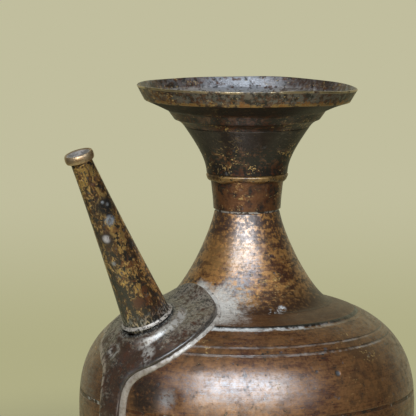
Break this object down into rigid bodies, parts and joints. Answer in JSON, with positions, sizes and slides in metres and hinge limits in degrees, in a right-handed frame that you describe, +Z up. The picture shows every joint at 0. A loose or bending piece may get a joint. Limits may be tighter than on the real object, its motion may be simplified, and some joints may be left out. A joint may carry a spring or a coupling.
{
  "type": "spouted water pot",
  "caption": "Round-bellied metal water pot with a slim gripping neck, a wide dished mouth and a straight leaning spout on a tailed plate.",
  "frame": {"origin": "centre of the foot's flat underside", "axes": "+Z up the pot's axis to the mouth, -X towards the spout, +Y across, with the spout's axis in the XZ plane"},
  "size_m": [0.1722, 0.1496, 0.2037],
  "materials": {
    "patina_bronze": "cast and turned bell metal under a reddish brown to black patina, worn to gold at the edges",
    "dark_bronze": "bell metal under a dark brown patina",
    "worn_brass": "brass mottled gold and black, with a bright worn lip",
    "gold_braze": "uneven golden braze",
    "grey_solder": "dull pale grey solder"
  },
  "bodies": {
    "root": {"foot": "dark_bronze", "bowl": "patina_bronze", "belly_braze_ring": "dark_bronze", "shoulder": "patina_bronze", "neck_cone": "patina_bronze", "neck_solder_ring": "grey_solder", "neck_collar": "patina_bronze", "neck_braze_bead": "gold_braze", "neck_trumpet": "patina_bronze", "mouth_dish": "patina_bronze", "spout_plate": "patina_bronze", "plate_solder_bead": "grey_solder", "spout_tube": "worn_brass", "spout_root_solder": "grey_solder", "spout_lip": "worn_brass"}
  },
  "joints": []
}
